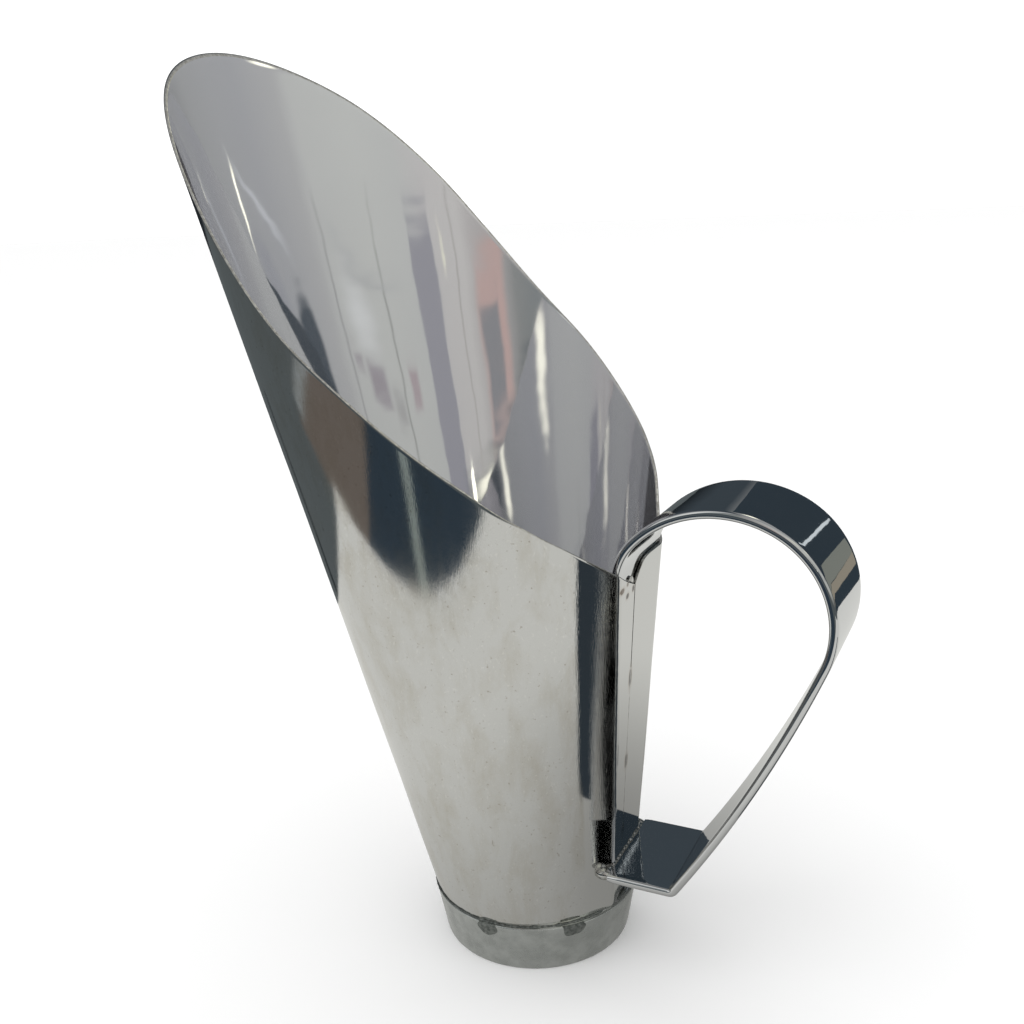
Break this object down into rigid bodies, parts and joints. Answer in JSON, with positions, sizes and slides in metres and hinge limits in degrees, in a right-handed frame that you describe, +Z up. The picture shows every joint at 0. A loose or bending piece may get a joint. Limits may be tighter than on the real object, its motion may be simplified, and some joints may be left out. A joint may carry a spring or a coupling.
{
  "type": "water pitcher",
  "caption": "Leaning conical sheet-metal water pitcher with a long slanted spout, a foot ring and a bent flat-strap handle.",
  "frame": {"origin": "centre of the foot ring's underside, on the resting plane", "axes": "+Z up out of the foot, +X towards the handle, the spout's tip on the -X side; the strap is symmetric about the XZ plane"},
  "size_m": [0.2236, 0.1411, 0.3098],
  "materials": {
    "sheet_steel": "satin",
    "strap_steel": "polished",
    "foot_steel": "satin",
    "weld_steel": "as_welded",
    "solder": "matte"
  },
  "bodies": {
    "root": {"body_shell": "sheet_steel", "base_disc": "sheet_steel", "foot_ring": "foot_steel", "handle_strap": "strap_steel", "seam_weld": "weld_steel", "strap_spot_welds": "weld_steel", "shelf_weld": "weld_steel", "foot_solder": "solder", "base_solder": "solder"}
  },
  "joints": []
}
